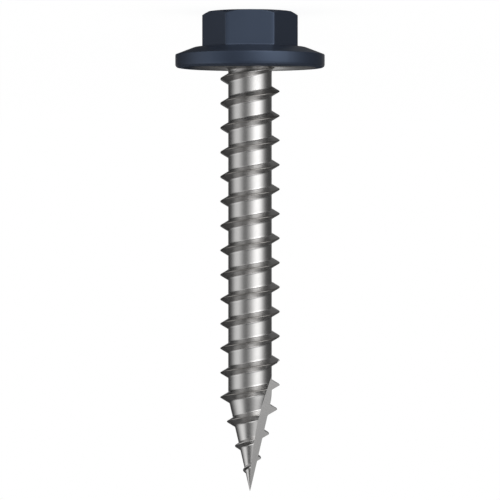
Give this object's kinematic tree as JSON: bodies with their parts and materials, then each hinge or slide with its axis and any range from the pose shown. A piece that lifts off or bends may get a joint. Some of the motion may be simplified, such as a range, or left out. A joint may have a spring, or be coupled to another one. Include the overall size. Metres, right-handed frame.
{
  "type": "hex head wood screw",
  "caption": "Self-drilling wood screw with a hex flange head in dark paint, a coarse thread along its bare steel shank and a notched cutting point.",
  "frame": {"origin": "centre of the head's flat top face, which the screw stands on", "axes": "+Z along the axis from the head to the point, two flats of the hex face +Y and -Y"},
  "size_m": [0.0142, 0.0142, 0.0452],
  "materials": {
    "bare_steel": "bright rolled and plated, satin on the flanks",
    "head_paint": "dark slate blue baked paint, satin"
  },
  "bodies": {
    "root": {"screw": "bare_steel"}
  },
  "joints": []
}
